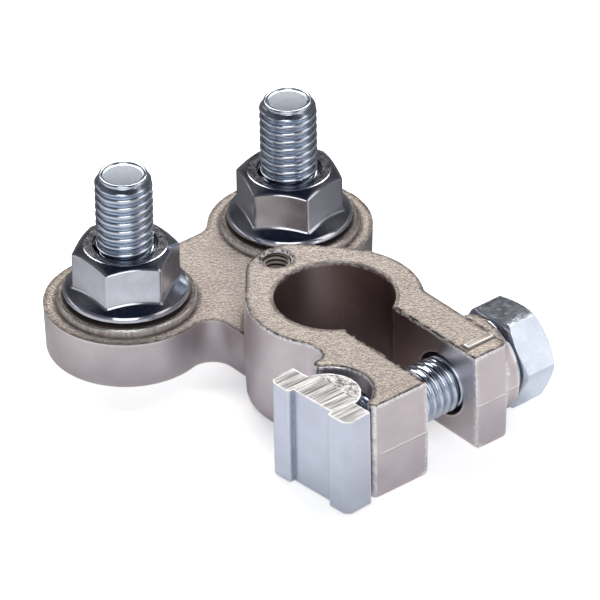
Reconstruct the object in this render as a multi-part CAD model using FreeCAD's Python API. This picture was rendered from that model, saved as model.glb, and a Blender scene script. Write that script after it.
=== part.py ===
import FreeCAD, Part
import math
import os

# Battery terminal clamp with two upright stud terminals, in millimetres.
# Z is the axis of the post bore, X runs along the clamping arms and Y along the clamp bolt.
# The origin is on the bore axis, in the plane that the clamp lies on.

# Casting, as a whole
CAST_HEIGHT = 15.0
PARTING_HEIGHT = 7.3
DRAFT_ANGLE = 2.0
UNDER_EDGE_RADIUS = 0.8
UNDER_EDGE_SHARE = 0.7
TOP_EDGE_RADIUS = 0.25

# Collar round the battery post
BORE_RADIUS = 8.3
COLLAR_RADIUS = 12.4
REAR_LOBE_X = -8.2
REAR_LOBE_RADIUS = 7.1

# Arms and the slot between them
ARM_END_X = 24.4
ARM_OUTER_Y = 10.35
SLOT_WIDTH = 8.5
SLOT_UNDER_RADIUS = 1.4
ARM_CORNER_RADIUS = 1.2

# Block on the near arm that holds the clamp nut
BLOCK_START_X = 10.1
BLOCK_OUTER_Y = 14.25
BLOCK_NOTCH_RADIUS = 1.3
NUT_SEAT_RADIUS = 5.4
NUT_SEAT_OFFSET = 0.8

# Thread of the bolt and the studs
THREAD_RADIUS = 4.0
THREAD_PITCH = 1.25
THREAD_DEPTH = 0.65
THREAD_CREST = 0.2

# Clamp bolt
BOLT_X = 17.1
BOLT_RISE = 0.1
BOLT_HOLE_RADIUS = 4.6
BOLT_TIP_GAP = 1.55
BOLT_PLAIN_LENGTH = 4.0
BOLT_HEAD_SPREAD = 13.0
BOLT_HEAD_HEIGHT = 6.6
BOLT_HEAD_TURN = -4.5
BOLT_HEAD_CHAMFER = 28.0
BOLT_HEAD_UNDER_CHAMFER = 20.0
WASHER_FACE_RADIUS = 6.1
WASHER_FACE_HEIGHT = 0.8
BOLT_SEAT_RADIUS = 6.9
BOLT_SEAT_HEIGHT = 1.8
THREAD_END_CHAMFER = 0.7

# Clamp nut, a sawn profile with a round back
NUT_BAR_WIDTH = 14.8
NUT_BAR_DEPTH = 4.3
NUT_END_GAP = 0.2
NUT_BACK_RADIUS = 4.6
NUT_BACK_REACH = 3.7
NUT_CHANNEL_WIDTH = 7.4
NUT_CHANNEL_DEPTH = 0.8
NUT_RIDGE_RADIUS = 1.1
RIDGE_SHARE = 0.33
NUT_LIP_RADIUS = 0.35
NUT_BOTTOM_WALL = 1.0
NUT_SWIVEL = 3.9

# Stud pads and the web that carries them
STUD_X = -27.1
STUD_SPACING = 28.9
PAD_RADIUS = 11.5
WEB_REAR_X = -33.4
WEB_WIDTH = 16.2
WEB_FRONT_FILLET = 2.8
WEB_REAR_FILLET = 3.4
WEB_ROOT_FILLET = 1.0
SEAT_RADIUS = 9.65
SEAT_HEIGHT = 1.1
SEAT_EDGE_CHAMFER = 0.2

# Studs, with their hexagon heads let into the underside
STUD_TOP = 27.6
STUD_HEAD_SPREAD = 13.0
STUD_HEAD_HEIGHT = 5.0
STUD_HEAD_RECESS = 0.4
STUD_END_CHAMFER = 0.65
STUD_SHANK_RADIUS = 3.6

# Flange nuts
FLANGE_NUT_SPREAD = 13.0
FLANGE_NUT_HEIGHT = 8.0
FLANGE_NUT_TURN = {-1: 0.8, 1: 40.3}
FLANGE_RADIUS = 8.7
FLANGE_RIM_HEIGHT = 0.85
FLANGE_SLOPE = 26.5
NUT_CHAMFER_ANGLE = 29.0
NUT_FACE_RADIUS = 5.8
TOOTH_COUNT = 26
TOOTH_HEIGHT = 0.3
TOOTH_INNER_RADIUS = 6.2
TOOTH_WIDTH_SHARE = 0.9
FLANGE_EDGE_RADIUS = 0.25
NUT_SINK = 0.6

# Accessory hole tapped in the rear lobe
TAPPED_HOLE_X = -12.25
TAPPED_HOLE_RADIUS = 2.0
TAPPED_HOLE_DEPTH = 9.0
TAPPED_HOLE_CHAMFER = 0.3
DRILL_POINT_ANGLE = 30.0

# Clearances
SEAT_GAP = 0.05
THREAD_GAP = 0.05
STUD_GAP = 0.15
NUT_SEAT_GAP = 0.1

TOLERANCE = 1e-4

# Sizes that follow from the ones above
BOLT_Z = CAST_HEIGHT / 2 + BOLT_RISE
HEAD_SEAT_Y = ARM_OUTER_Y + BOLT_SEAT_HEIGHT + SEAT_GAP
NUT_SWIVEL_REACH = NUT_BAR_WIDTH / 2 * math.sin(math.radians(NUT_SWIVEL))
NUT_BACK_Y = -(BLOCK_OUTER_Y + NUT_SEAT_GAP + NUT_SWIVEL_REACH)
NUT_HEIGHT = CAST_HEIGHT - 2 * NUT_END_GAP
NUT_HOLE_DEPTH = NUT_BACK_REACH + NUT_BAR_DEPTH - NUT_CHANNEL_DEPTH - NUT_BOTTOM_WALL
NUT_HOLE_FLOOR_Y = NUT_BACK_Y + NUT_BACK_REACH - NUT_HOLE_DEPTH
BOLT_LENGTH = HEAD_SEAT_Y - NUT_HOLE_FLOOR_Y - BOLT_TIP_GAP
FLANGE_NUT_FOOT = PARTING_HEIGHT + SEAT_HEIGHT + SEAT_GAP

UP = FreeCAD.Vector(0, 0, 1)
ALONG_BOLT = FreeCAD.Vector(0, 1, 0)
ORIGIN = FreeCAD.Vector(0, 0, 0)
SIDES = (-1, 1)


def point(x, y, z=0.0):
    return FreeCAD.Vector(x, y, z)


def disc(x, y, radius):
    circle = Part.Circle(point(x, y), UP, radius)
    return Part.Face(Part.Wire(circle.toShape()))


def rectangle(x_low, x_high, y_low, y_high):
    corners = [point(x_low, y_low), point(x_high, y_low), point(x_high, y_high), point(x_low, y_high)]
    return Part.Face(Part.makePolygon(corners + corners[:1]))


def joined(faces):
    """Outline of several overlapping plan faces."""
    slabs = [face.extrude(UP) for face in faces]
    slab = slabs[0].multiFuse(slabs[1:]).removeSplitter()
    top = max(slab.Faces, key=lambda face: face.CenterOfMass.z)
    outline = top.OuterWire.copy()
    outline.translate(-UP)
    return Part.Face(outline)


def with_inner_corners_rounded(face, radius):
    return Part.Face(face.makeOffset2D(radius).makeOffset2D(-radius).Faces[0].OuterWire)


def with_outer_corners_rounded(face, radius):
    return Part.Face(face.makeOffset2D(-radius).makeOffset2D(radius).Faces[0].OuterWire)


def drafted(face, start, end):
    """Solid from a plan in the parting plane that narrows by the draft on its way to end."""
    inset = abs(end - start) * math.tan(math.radians(DRAFT_ANGLE))
    wide = face.OuterWire.copy()
    wide.translate(point(0, 0, start))
    narrow = face.makeOffset2D(-inset).Faces[0].OuterWire.copy()
    narrow.translate(point(0, 0, end))
    return Part.makeLoft([wide, narrow], True, True)


def hexagon(spread, height, turn=0.0):
    corner_radius = spread / math.sqrt(3.0)
    corners = []
    for index in range(6):
        angle = math.radians(60.0 * index + turn)
        corners.append(point(corner_radius * math.cos(angle), corner_radius * math.sin(angle)))
    return Part.Face(Part.makePolygon(corners + corners[:1])).extrude(point(0, 0, height))


def turned(profile):
    """Solid of revolution about Z from (radius, height) points."""
    corners = [point(radius, 0, height) for radius, height in profile]
    face = Part.Face(Part.makePolygon(corners + corners[:1]))
    return face.revolve(ORIGIN, UP, 360)


def collar_plan():
    """Two circles on the X axis and the lines that touch both."""
    lean = math.acos((COLLAR_RADIUS - REAR_LOBE_RADIUS) / -REAR_LOBE_X)
    touch_x = -math.cos(lean)
    touch_y = math.sin(lean)
    front = [point(COLLAR_RADIUS * touch_x, COLLAR_RADIUS * side * touch_y) for side in (1, -1)]
    rear = [point(REAR_LOBE_X + REAR_LOBE_RADIUS * touch_x, REAR_LOBE_RADIUS * side * touch_y)
            for side in (1, -1)]
    edges = [
        Part.Arc(front[0], point(COLLAR_RADIUS, 0), front[1]).toShape(),
        Part.makeLine(front[1], rear[1]),
        Part.Arc(rear[1], point(REAR_LOBE_X - REAR_LOBE_RADIUS, 0), rear[0]).toShape(),
        Part.makeLine(rear[0], front[0]),
    ]
    return Part.Face(Part.Wire(edges))


def upper_plan():
    """Collar, both arms and the nut block, as seen from above."""
    arms = rectangle(0, ARM_END_X, -ARM_OUTER_Y, ARM_OUTER_Y)
    block = rectangle(BLOCK_START_X, ARM_END_X, -BLOCK_OUTER_Y, 0)
    plan = with_inner_corners_rounded(joined([collar_plan(), arms, block]), BLOCK_NOTCH_RADIUS)
    seat = disc(BOLT_X, -(BLOCK_OUTER_Y + NUT_SEAT_OFFSET), NUT_SEAT_RADIUS)
    return with_outer_corners_rounded(plan.cut(seat).Faces[0], ARM_CORNER_RADIUS)


def pad_plan():
    """Both stud pads and the web that joins them to the collar."""
    pads = [disc(STUD_X, side * STUD_SPACING / 2, PAD_RADIUS) for side in SIDES]
    bridge = rectangle(WEB_REAR_X, STUD_X, -STUD_SPACING / 2, STUD_SPACING / 2)
    rear = with_inner_corners_rounded(joined(pads + [bridge]), WEB_REAR_FILLET)
    web = rectangle(STUD_X, 0, -WEB_WIDTH / 2, WEB_WIDTH / 2)
    return with_inner_corners_rounded(joined([rear, web]), WEB_FRONT_FILLET)


def lower_plan():
    return with_inner_corners_rounded(joined([upper_plan(), pad_plan()]), WEB_ROOT_FILLET)


def edges_at(solid, height):
    return [edge for edge in solid.Edges
            if max(abs(edge.BoundBox.ZMin - height), abs(edge.BoundBox.ZMax - height)) < TOLERANCE]


def stud_place(side):
    return point(STUD_X, side * STUD_SPACING / 2)


def along_bolt(solid, y):
    """Lay a solid that stands on the origin along the bolt axis, with its foot at y."""
    laid = solid.copy()
    laid.rotate(ORIGIN, point(1, 0, 0), -90)
    laid.translate(point(BOLT_X, y, BOLT_Z))
    return laid


def casting_blank():
    upper = drafted(upper_plan(), PARTING_HEIGHT, CAST_HEIGHT)
    upper = upper.makeFillet(TOP_EDGE_RADIUS, edges_at(upper, CAST_HEIGHT))
    lower = drafted(lower_plan(), PARTING_HEIGHT, 0.0)
    under_radius = min(UNDER_EDGE_RADIUS, UNDER_EDGE_SHARE * ARM_CORNER_RADIUS)
    lower = lower.makeFillet(under_radius, edges_at(lower, 0.0))
    return upper.fuse(lower)


def stud_seat():
    """Low round boss on the pad that the flange nut bears on."""
    inset = SEAT_HEIGHT * math.tan(math.radians(DRAFT_ANGLE))
    top_radius = SEAT_RADIUS - inset
    edge = SEAT_EDGE_CHAMFER
    boss = turned([(0, 0), (SEAT_RADIUS, 0), (top_radius, SEAT_HEIGHT - edge),
                   (top_radius - edge, SEAT_HEIGHT), (0, SEAT_HEIGHT)])
    boss.translate(point(0, 0, PARTING_HEIGHT))
    return boss


def bolt_seat():
    """Round boss on the far arm that the bolt head bears on."""
    length = ARM_OUTER_Y + BOLT_SEAT_HEIGHT - SLOT_WIDTH / 2
    return along_bolt(Part.makeCylinder(BOLT_SEAT_RADIUS, length), SLOT_WIDTH / 2)


def arm_slot():
    """Slot between the arms, flared at its foot so that the lower edges of both arms are rounded."""
    half = SLOT_WIDTH / 2
    radius = SLOT_UNDER_RADIUS
    slot = Part.makeBox(ARM_END_X, SLOT_WIDTH, CAST_HEIGHT, point(0, -half))
    flare = Part.makeBox(ARM_END_X, SLOT_WIDTH + 2 * radius, radius, point(0, -half - radius))
    for side in SIDES:
        edge = Part.makeCylinder(radius, ARM_END_X, point(0, side * (half + radius), radius), point(1, 0))
        flare = flare.cut(edge)
    return slot.fuse(flare)


def head_pocket():
    """Hexagon pocket for a stud head, with the clearance hole above it."""
    spread = STUD_HEAD_SPREAD + 2 * STUD_GAP
    depth = STUD_HEAD_RECESS + STUD_HEAD_HEIGHT
    pocket = hexagon(spread, depth)
    hole = Part.makeCylinder(THREAD_RADIUS + STUD_GAP, CAST_HEIGHT)
    return pocket.fuse(hole)


def tapped_hole():
    radius = TAPPED_HOLE_RADIUS
    wide = radius + TAPPED_HOLE_CHAMFER
    floor = CAST_HEIGHT - TAPPED_HOLE_DEPTH
    tip = floor - radius * math.tan(math.radians(DRILL_POINT_ANGLE))
    hole = turned([(0, tip), (radius, floor), (radius, CAST_HEIGHT - TAPPED_HOLE_CHAMFER),
                   (wide, CAST_HEIGHT), (0, CAST_HEIGHT)])
    hole.translate(point(TAPPED_HOLE_X, 0))
    return hole


def make_clamp_body():
    body = casting_blank()
    seats = [bolt_seat()]
    for side in SIDES:
        seat = stud_seat()
        seat.translate(stud_place(side))
        seats.append(seat)
    body = body.multiFuse(seats)
    reach = ARM_OUTER_Y + BOLT_SEAT_HEIGHT
    bolt_hole = along_bolt(Part.makeCylinder(BOLT_HOLE_RADIUS, BLOCK_OUTER_Y + reach), -BLOCK_OUTER_Y)
    bore = Part.makeCylinder(BORE_RADIUS, CAST_HEIGHT)
    cuts = [bore, arm_slot(), bolt_hole, tapped_hole()]
    for side in SIDES:
        pocket = head_pocket()
        pocket.translate(stud_place(side))
        cuts.append(pocket)
    for cut in cuts:
        body = body.cut(cut)
    return body.removeSplitter()


def chamfer_cone(corner_radius, face_radius, slope, top):
    """Solid that a hexagon is trimmed with, so that its corners fall away to a round face."""
    fall = (corner_radius - face_radius) * math.tan(math.radians(slope))
    reach = corner_radius + face_radius
    depth = top - fall - (reach - corner_radius) * math.tan(math.radians(slope))
    return turned([(0, -reach), (reach, -reach), (reach, depth), (face_radius, top), (0, top)])


def thread_profile(foot, top):
    """Points of a row of thread ridges from foot to top, the last crest against the top."""
    profile = [(THREAD_RADIUS, foot)]
    for index in reversed(range(int((top - foot) / THREAD_PITCH))):
        high = top - THREAD_CREST - index * THREAD_PITCH
        low = top - (index + 1) * THREAD_PITCH
        root = (THREAD_RADIUS - THREAD_DEPTH, (low + high) / 2)
        profile += [(THREAD_RADIUS, low), root, (THREAD_RADIUS, high)]
    return profile + [(THREAD_RADIUS, top)]


def make_clamp_bolt():
    corner_radius = BOLT_HEAD_SPREAD / math.sqrt(3.0)
    head = hexagon(BOLT_HEAD_SPREAD, BOLT_HEAD_HEIGHT - WASHER_FACE_HEIGHT)
    head = head.common(chamfer_cone(corner_radius, WASHER_FACE_RADIUS, BOLT_HEAD_CHAMFER,
                                    BOLT_HEAD_HEIGHT - WASHER_FACE_HEIGHT))
    flipped = head.mirror(ORIGIN, UP)
    flipped = flipped.common(chamfer_cone(corner_radius, WASHER_FACE_RADIUS, BOLT_HEAD_UNDER_CHAMFER, 0.0))
    head = flipped.mirror(ORIGIN, UP)
    head.translate(point(0, 0, WASHER_FACE_HEIGHT))
    collar = Part.makeCylinder(WASHER_FACE_RADIUS, WASHER_FACE_HEIGHT)
    tip_radius = THREAD_RADIUS - THREAD_END_CHAMFER
    ridges = thread_profile(THREAD_END_CHAMFER - BOLT_LENGTH, -BOLT_PLAIN_LENGTH)
    shank = turned([(0, -BOLT_LENGTH), (tip_radius, -BOLT_LENGTH)] + ridges + [(THREAD_RADIUS, 0), (0, 0)])
    bolt = head.multiFuse([collar, shank]).removeSplitter()
    bolt.rotate(ORIGIN, UP, BOLT_HEAD_TURN)
    return along_bolt(bolt, HEAD_SEAT_Y)


def make_clamp_nut():
    """Profile sawn from a drawn bar: channelled front, round back, and a blind tapped hole.

    It swivels a little in its round seat, until one end of the bar touches the block.
    """
    front_y = NUT_BACK_Y - NUT_BAR_DEPTH
    half = NUT_BAR_WIDTH / 2
    bar = rectangle(BOLT_X - half, BOLT_X + half, front_y, NUT_BACK_Y)
    channel_half = NUT_CHANNEL_WIDTH / 2
    channel = rectangle(BOLT_X - channel_half, BOLT_X + channel_half, front_y, front_y + NUT_CHANNEL_DEPTH)
    plan = bar.cut(channel).Faces[0]
    back_centre_y = NUT_BACK_Y + NUT_BACK_REACH - NUT_BACK_RADIUS
    back = disc(BOLT_X, back_centre_y, NUT_BACK_RADIUS)
    middle_y = NUT_BACK_Y - NUT_BAR_DEPTH / 2
    keep = rectangle(BOLT_X - half, BOLT_X + half, middle_y, NUT_BACK_Y + NUT_BACK_REACH)
    plan = joined([plan, back.common(keep).Faces[0]])
    body = plan.extrude(point(0, 0, NUT_HEIGHT))
    body.translate(point(0, 0, BOLT_Z - NUT_HEIGHT / 2))
    front = [edge for edge in body.Edges
             if edge.BoundBox.ZLength > NUT_HEIGHT / 2 and edge.BoundBox.YMax < front_y + TOLERANCE]
    ridge_radius = min(NUT_RIDGE_RADIUS, (half - channel_half) * RIDGE_SHARE)
    lip_radius = min(NUT_LIP_RADIUS, NUT_CHANNEL_DEPTH / 2)
    outer = [edge for edge in front if abs(edge.BoundBox.XMin - BOLT_X) > channel_half + TOLERANCE]
    inner = [edge for edge in front if abs(edge.BoundBox.XMin - BOLT_X) < channel_half + TOLERANCE]
    body = body.makeFillet(ridge_radius, outer).makeFillet(lip_radius, inner)
    body.rotate(point(BOLT_X, NUT_BACK_Y), UP, NUT_SWIVEL)
    thread = Part.makeCylinder(THREAD_RADIUS + THREAD_GAP, NUT_HOLE_DEPTH + NUT_BACK_REACH)
    return body.cut(along_bolt(thread, NUT_HOLE_FLOOR_Y))


def make_stud(side):
    """Hexagon head, a shank as slim as the middle of its thread, and the free end with its ridges."""
    corner_radius = STUD_HEAD_SPREAD / math.sqrt(3.0)
    head = hexagon(STUD_HEAD_SPREAD, STUD_HEAD_HEIGHT)
    face_radius = STUD_HEAD_SPREAD / 2 - STUD_END_CHAMFER
    flipped = head.mirror(ORIGIN, UP)
    trim = chamfer_cone(corner_radius, face_radius, NUT_CHAMFER_ANGLE, 0.0)
    head = flipped.common(trim).mirror(ORIGIN, UP)
    top = STUD_TOP - STUD_HEAD_RECESS
    nut_top = FLANGE_NUT_FOOT + FLANGE_NUT_HEIGHT - STUD_HEAD_RECESS
    ridges = thread_profile(nut_top, top - STUD_END_CHAMFER)
    shank = turned([(0, 0), (STUD_SHANK_RADIUS, 0), (STUD_SHANK_RADIUS, nut_top)] + ridges
                   + [(THREAD_RADIUS - STUD_END_CHAMFER, top), (0, top)])
    stud = head.fuse(shank).removeSplitter()
    place = stud_place(side)
    place.z = STUD_HEAD_RECESS
    stud.translate(place)
    return stud


def serration():
    """Ring of ratchet teeth that stand under the flange of a nut, each steep on one side."""
    outer = FLANGE_RADIUS - FLANGE_EDGE_RADIUS
    share = 2 * math.tan(math.pi / TOOTH_COUNT) * TOOTH_WIDTH_SHARE
    sections = []
    for radius in (TOOTH_INNER_RADIUS, outer):
        root = point(radius, 0, TOOTH_HEIGHT)
        corners = [root, point(radius, 0, 0), point(radius, share * radius, TOOTH_HEIGHT)]
        sections.append(Part.makePolygon(corners + [root]))
    tooth = Part.makeLoft(sections, True, True)
    teeth = []
    for index in range(TOOTH_COUNT):
        copy = tooth.copy()
        copy.rotate(ORIGIN, UP, 360.0 / TOOTH_COUNT * index)
        teeth.append(copy)
    return teeth


def flange():
    """Skirt of a flange nut: a rounded rim and a cone that rises to the hexagon."""
    edge = FLANGE_EDGE_RADIUS
    low = TOOTH_HEIGHT
    rim_top = low + FLANGE_RIM_HEIGHT
    inner = FLANGE_NUT_SPREAD / 2 - FLANGE_RIM_HEIGHT
    rise = (FLANGE_RADIUS - inner) * math.tan(math.radians(FLANGE_SLOPE))
    return turned([(0, low), (FLANGE_RADIUS - edge, low), (FLANGE_RADIUS, low + edge),
                   (FLANGE_RADIUS, rim_top), (inner, rim_top + rise), (0, rim_top + rise)])


def make_flange_nut(side):
    corner_radius = FLANGE_NUT_SPREAD / math.sqrt(3.0)
    bore = STUD_SHANK_RADIUS + THREAD_GAP
    wide = THREAD_RADIUS + NUT_SINK
    trim = chamfer_cone(corner_radius, NUT_FACE_RADIUS, NUT_CHAMFER_ANGLE, FLANGE_NUT_HEIGHT)
    body = hexagon(FLANGE_NUT_SPREAD, FLANGE_NUT_HEIGHT, FLANGE_NUT_TURN[side]).common(trim)
    body = body.cut(Part.makeCylinder(2 * corner_radius, TOOTH_HEIGHT))
    nut = body.multiFuse([flange()] + serration())
    sink_foot = FLANGE_NUT_HEIGHT - (wide - bore)
    hole = turned([(0, 0), (bore, 0), (bore, sink_foot), (wide, FLANGE_NUT_HEIGHT), (0, FLANGE_NUT_HEIGHT)])
    nut = nut.cut(hole).removeSplitter()
    place = stud_place(side)
    place.z = FLANGE_NUT_FOOT
    nut.translate(place)
    return nut


def main():
    os.makedirs("parts", exist_ok=True)
    pieces = {
        "clamp_body": make_clamp_body(),
        "clamp_bolt": make_clamp_bolt(),
        "clamp_nut": make_clamp_nut(),
    }
    for side, name in zip(SIDES, ("near", "far")):
        pieces[name + "_stud"] = make_stud(side)
        pieces[name + "_flange_nut"] = make_flange_nut(side)
    for name, shape in pieces.items():
        shape.exportStep("parts/" + name + ".step")
        box = shape.BoundBox
        print(name, "solids", len(shape.Solids), "valid", shape.isValid(), "volume", round(shape.Volume, 1),
              [round(value, 2) for value in (box.XMin, box.YMin, box.ZMin, box.XMax, box.YMax, box.ZMax)])


main()
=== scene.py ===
import math

import bmesh
import bpy
from bpy.props import FloatProperty, FloatVectorProperty, IntProperty, PointerProperty
from mathutils import Matrix, Vector


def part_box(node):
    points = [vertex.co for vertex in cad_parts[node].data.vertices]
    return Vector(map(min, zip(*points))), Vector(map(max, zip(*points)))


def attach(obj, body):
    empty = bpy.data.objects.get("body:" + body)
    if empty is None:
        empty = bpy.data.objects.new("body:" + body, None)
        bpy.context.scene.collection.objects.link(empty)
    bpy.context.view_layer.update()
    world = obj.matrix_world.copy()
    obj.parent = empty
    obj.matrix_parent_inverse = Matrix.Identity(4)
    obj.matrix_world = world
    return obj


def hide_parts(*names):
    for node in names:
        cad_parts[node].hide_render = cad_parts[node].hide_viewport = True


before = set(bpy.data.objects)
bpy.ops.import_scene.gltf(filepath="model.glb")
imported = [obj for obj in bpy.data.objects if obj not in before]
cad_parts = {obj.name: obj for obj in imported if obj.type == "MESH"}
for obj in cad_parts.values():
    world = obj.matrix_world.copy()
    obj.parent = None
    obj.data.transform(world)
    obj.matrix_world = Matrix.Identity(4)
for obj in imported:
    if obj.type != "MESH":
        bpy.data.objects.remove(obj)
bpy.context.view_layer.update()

bl_info = {
    "name": "Battery Terminal Clamp",
    "version": (1, 0, 0),
    "blender": (4, 5, 0),
    "location": "3D View > Sidebar > Terminal Clamp",
    "description": "Threads, nuts, metal finishes and a small studio for a battery terminal clamp",
    "category": "Object",
}

SIDES = ("near", "far")


# Settings

LENGTH = {"subtype": "DISTANCE", "unit": "LENGTH", "precision": 5}
ANGLE = {"subtype": "ANGLE", "unit": "ROTATION"}
COLOUR = {"subtype": "COLOR", "min": 0.0, "max": 1.0}


class ClampThreadSettings(bpy.types.PropertyGroup):
    pitch: FloatProperty(
        name="Pitch", description="Advance of the thread in one turn", default=0.00125, min=0.0005, **LENGTH)
    crest: FloatProperty(
        name="Crest radius", description="Radius over the thread's crests", default=0.00398, **LENGTH)
    root: FloatProperty(
        name="Root radius", description="Radius at the bottom of the thread", default=0.00326, **LENGTH)
    fullness: FloatProperty(
        name="Fullness", description="How full and round the crests are", default=2.6, min=1.2, max=6.0)
    steps: IntProperty(
        name="Steps per turn", description="Straight steps in one turn of the thread", default=56, min=12)
    rungs: IntProperty(
        name="Points per ridge", description="Straight steps across one ridge of the thread",
        default=12, min=4)


class ClampNutSettings(bpy.types.PropertyGroup):
    spread: FloatProperty(
        name="Width across flats", description="Spanner size of the flange nuts", default=0.013, **LENGTH)
    flange: FloatProperty(
        name="Flange radius", description="Radius of the nut's flange", default=0.0087, **LENGTH)
    rim: FloatProperty(
        name="Rim height", description="Height of the flange's upright rim over its teeth",
        default=0.00085, **LENGTH)
    slope: FloatProperty(
        name="Flange slope", description="Slope of the flange between rim and hexagon",
        default=math.radians(26.5), **ANGLE)
    rounding: FloatProperty(
        name="Rim rounding", description="Radius between the flange's rim and its slope",
        default=0.0009, **LENGTH)
    chamfer: FloatProperty(
        name="Chamfer", description="Slope of the chamfer on the hexagon's corners",
        default=math.radians(29.0), **ANGLE)
    face: FloatProperty(
        name="Face radius", description="Radius of the flat end face inside the chamfer",
        default=0.0058, **LENGTH)
    teeth: IntProperty(name="Teeth", description="Ratchet teeth under the flange", default=26, min=8)
    tooth: FloatProperty(
        name="Tooth height", description="Height of the teeth under the flange", default=0.0003, **LENGTH)
    turn_near: FloatProperty(
        name="Near nut's turn", description="Turn of the near nut's corners from +X",
        default=math.radians(0.8), **ANGLE)
    turn_far: FloatProperty(
        name="Far nut's turn", description="Turn of the far nut's corners from +X",
        default=math.radians(40.3), **ANGLE)


class ClampBoltSettings(bpy.types.PropertyGroup):
    spread: FloatProperty(
        name="Width across flats", description="Spanner size of the hexagon heads", default=0.013, **LENGTH)
    height: FloatProperty(
        name="Head height", description="Height of the head with its washer face", default=0.0066, **LENGTH)
    washer_radius: FloatProperty(
        name="Washer face radius", description="Radius of the face under the head", default=0.0061, **LENGTH)
    washer_height: FloatProperty(
        name="Washer face height", description="Height of the face under the head", default=0.0008, **LENGTH)
    turn: FloatProperty(
        name="Head's turn", description="Turn of the head about the bolt",
        default=math.radians(-4.5), **ANGLE)
    stud_head: FloatProperty(
        name="Stud head height", description="Height of the stud heads in the underside",
        default=0.005, **LENGTH)
    nut_top: FloatProperty(
        name="Nut top", description="Height of the flange nuts' top faces", default=0.01645, **LENGTH)


class ClampCastingSettings(bpy.types.PropertyGroup):
    top_colour: FloatVectorProperty(
        name="Top", description="Plating on the high grains of the top faces",
        default=(1.0, 0.905, 0.825), **COLOUR)
    pit_and_shade_colour: FloatVectorProperty(
        name="Pits", description="Plating between the grains of the top faces",
        default=(0.42, 0.355, 0.315), **COLOUR)
    side_colour: FloatVectorProperty(
        name="Sides", description="Plating on the smooth sides", default=(0.68, 0.62, 0.64), **COLOUR)
    grain: FloatProperty(
        name="Grain", description="Grains of the cast skin in one metre", default=3200.0, min=100.0)
    parting: FloatProperty(
        name="Parting height", description="Height of the parting line over the underside",
        default=0.0073, **LENGTH)
    slot_half: FloatProperty(
        name="Half slot", description="Half the width of the slot between the arms",
        default=0.00425, **LENGTH)
    mark_length: FloatProperty(
        name="Mark length", description="Length of the minus sign on the far arm", default=0.0045, **LENGTH)
    mark_width: FloatProperty(
        name="Mark width", description="Width of the minus sign on the far arm", default=0.00105, **LENGTH)
    mark_place: FloatVectorProperty(
        name="Mark place", description="Middle of the minus sign from above",
        default=(0.02115, 0.0074), size=2, unit="LENGTH", precision=5)
    tap_place: FloatProperty(
        name="Tapped hole", description="X of the tapped hole's axis",
        default=-0.01225, unit="LENGTH", precision=5)
    tap_radius: FloatProperty(
        name="Tapped radius", description="Radius at the root of the tapped thread", default=0.002, **LENGTH)
    tap_pitch: FloatProperty(
        name="Tapped pitch", description="Advance of the tapped thread in one turn", default=0.0007, **LENGTH)
    tap_depth: FloatProperty(
        name="Tapped depth", description="Depth of the tapped thread", default=0.008, **LENGTH)


class ClampZincSettings(bpy.types.PropertyGroup):
    bolt_colour: FloatVectorProperty(
        name="Bolt and studs", description="Plating on the bolt and the studs",
        default=(0.70, 0.78, 0.89), **COLOUR)
    nut_colour: FloatVectorProperty(
        name="Flange nuts", description="Plating on the flange nuts", default=(0.70, 0.72, 0.80), **COLOUR)
    bar_colour: FloatVectorProperty(
        name="Clamp nut", description="Plating on the clamp nut", default=(0.72, 0.78, 0.90), **COLOUR)


class ClampStageSettings(bpy.types.PropertyGroup):
    azimuth: FloatProperty(
        name="Azimuth", description="Camera's direction, 0 looks along +Y",
        default=math.radians(50.905), **ANGLE)
    elevation: FloatProperty(
        name="Elevation", description="Camera's angle above the horizon",
        default=math.radians(33.279), **ANGLE)
    roll: FloatProperty(
        name="Roll", description="Camera's turn about its own axis", default=math.radians(-1.043), **ANGLE)
    distance: FloatProperty(
        name="Distance", description="Distance from the camera to its aim",
        default=1.1734, subtype="DISTANCE", unit="LENGTH")
    lens: FloatProperty(
        name="Lens", description="Focal length in millimetres on a 36 mm sensor", default=518.8)
    aim: FloatVectorProperty(
        name="Aim", description="Point in the middle of the picture",
        default=(-0.00724, -0.00015, 0.01081), size=3, unit="LENGTH", precision=5)
    floor_colour: FloatVectorProperty(
        name="Floor", description="Colour of the studio floor", default=(0.80, 0.80, 0.815), **COLOUR)


# Mesh tools

def hexagon(spread, corner, turn):
    """Radius of a hexagon as a function of the angle, with its corners cut back to the corner radius."""
    def radius(angle):
        wedge = (angle - turn) % math.radians(60.0) - math.radians(30.0)
        return min(spread / 2.0 / math.cos(wedge), corner)
    return radius


def value_at(shape, angle):
    return shape(angle) if callable(shape) else shape


def set_ring(verts, radius, height):
    """Move a ring of points about Z to a radius and a height, numbers or functions of the angle."""
    for vert in verts:
        angle = math.atan2(vert.co.y, vert.co.x)
        reach = value_at(radius, angle)
        vert.co = Vector((reach * math.cos(angle), reach * math.sin(angle), value_at(height, angle)))


def follow(bm, edges, rings):
    """Continue an open loop about Z through more rings."""
    for radius, height in rings:
        grown = bmesh.ops.extrude_edge_only(bm, edges=edges)["geom"]
        verts = [item for item in grown if isinstance(item, bmesh.types.BMVert)]
        fresh = set(verts)
        edges = [edge for edge in {edge for vert in verts for edge in vert.link_edges}
                 if all(vert in fresh for vert in edge.verts)]
        set_ring(verts, radius, height)
    return edges


def ring_stack(bm, rings, segments):
    """Shell about Z that runs through the rings, each a radius and a height."""
    verts = bmesh.ops.create_circle(bm, cap_ends=False, segments=segments, radius=1.0)["verts"]
    edges = list({edge for vert in verts for edge in vert.link_edges})
    set_ring(verts, *rings[0])
    return edges, follow(bm, edges, rings[1:])


def shifted(shape, amount):
    """A radius or a height, moved out or up by an amount at every angle."""
    return lambda angle: value_at(shape, angle) + amount


def over(slope, radius, lift=0.0):
    """Height of a slope at a radius, as a function of the angle."""
    return lambda angle: slope(value_at(radius, angle)) + lift


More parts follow.
